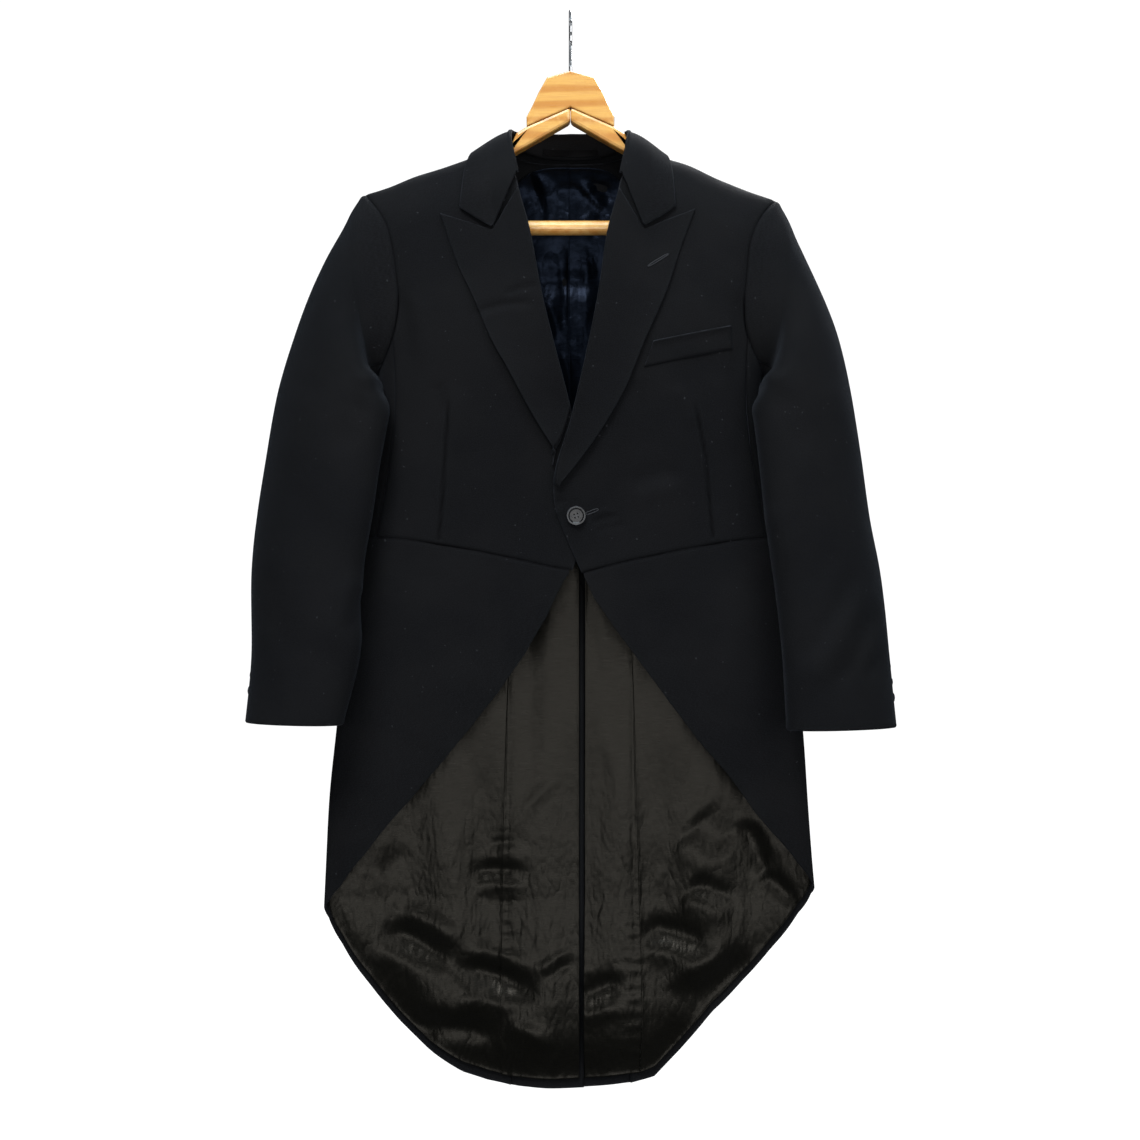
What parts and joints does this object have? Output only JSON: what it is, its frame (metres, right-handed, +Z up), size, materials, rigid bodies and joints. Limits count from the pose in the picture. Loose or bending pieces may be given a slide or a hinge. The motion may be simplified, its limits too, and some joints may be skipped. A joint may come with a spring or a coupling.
{
  "type": "morning coat on a wooden hanger",
  "caption": "Black cutaway morning coat with peak lapels, one fastened front button, long tails and a centre vent, hung on a varnished wooden hanger with a trouser bar.",
  "frame": {"origin": "inside top of the hanger's hook, where it rests on a rail", "axes": "+Z up, front of the coat faces -Y, +X to the viewer's right"},
  "size_m": [0.6694, 0.1377, 1.1332],
  "materials": {
    "coat_cloth": "fine black wool, close weave, dull",
    "lining": "satin, navy in the body and olive grey in the tails",
    "label": "plain woven tape",
    "buttons": "glossy black",
    "hanger_wood": "golden clear varnish",
    "hook_steel": "bright wire"
  },
  "bodies": {
    "root": {"forepart_left": "coat_cloth", "forepart_right": "coat_cloth", "side_body_left": "coat_cloth", "side_body_right": "coat_cloth", "back_left": "coat_cloth", "back_right": "coat_cloth", "skirt_left": "coat_cloth", "skirt_right": "coat_cloth", "top_sleeve_left": "coat_cloth", "top_sleeve_right": "coat_cloth", "under_sleeve_left": "coat_cloth", "under_sleeve_right": "coat_cloth", "lapel_left": "coat_cloth", "lapel_right": "coat_cloth", "collar_fall": "coat_cloth", "collar_stand": "coat_cloth", "breast_welt": "coat_cloth", "lining_back_left": "lining", "lining_back_right": "lining", "lining_skirt_left": "lining", "lining_skirt_right": "lining", "neck_label": "label", "front_button": "buttons", "back_button_left": "buttons", "back_button_right": "buttons", "cuff_button_left_1": "buttons", "cuff_button_left_2": "buttons", "cuff_button_left_3": "buttons", "cuff_button_right_1": "buttons", "cuff_button_right_2": "buttons", "cuff_button_right_3": "buttons", "hanger_arm_left": "hanger_wood", "hanger_arm_right": "hanger_wood", "hanger_block": "hanger_wood", "trouser_bar": "hanger_wood", "hanger_hook": "hook_steel"}
  },
  "joints": []
}
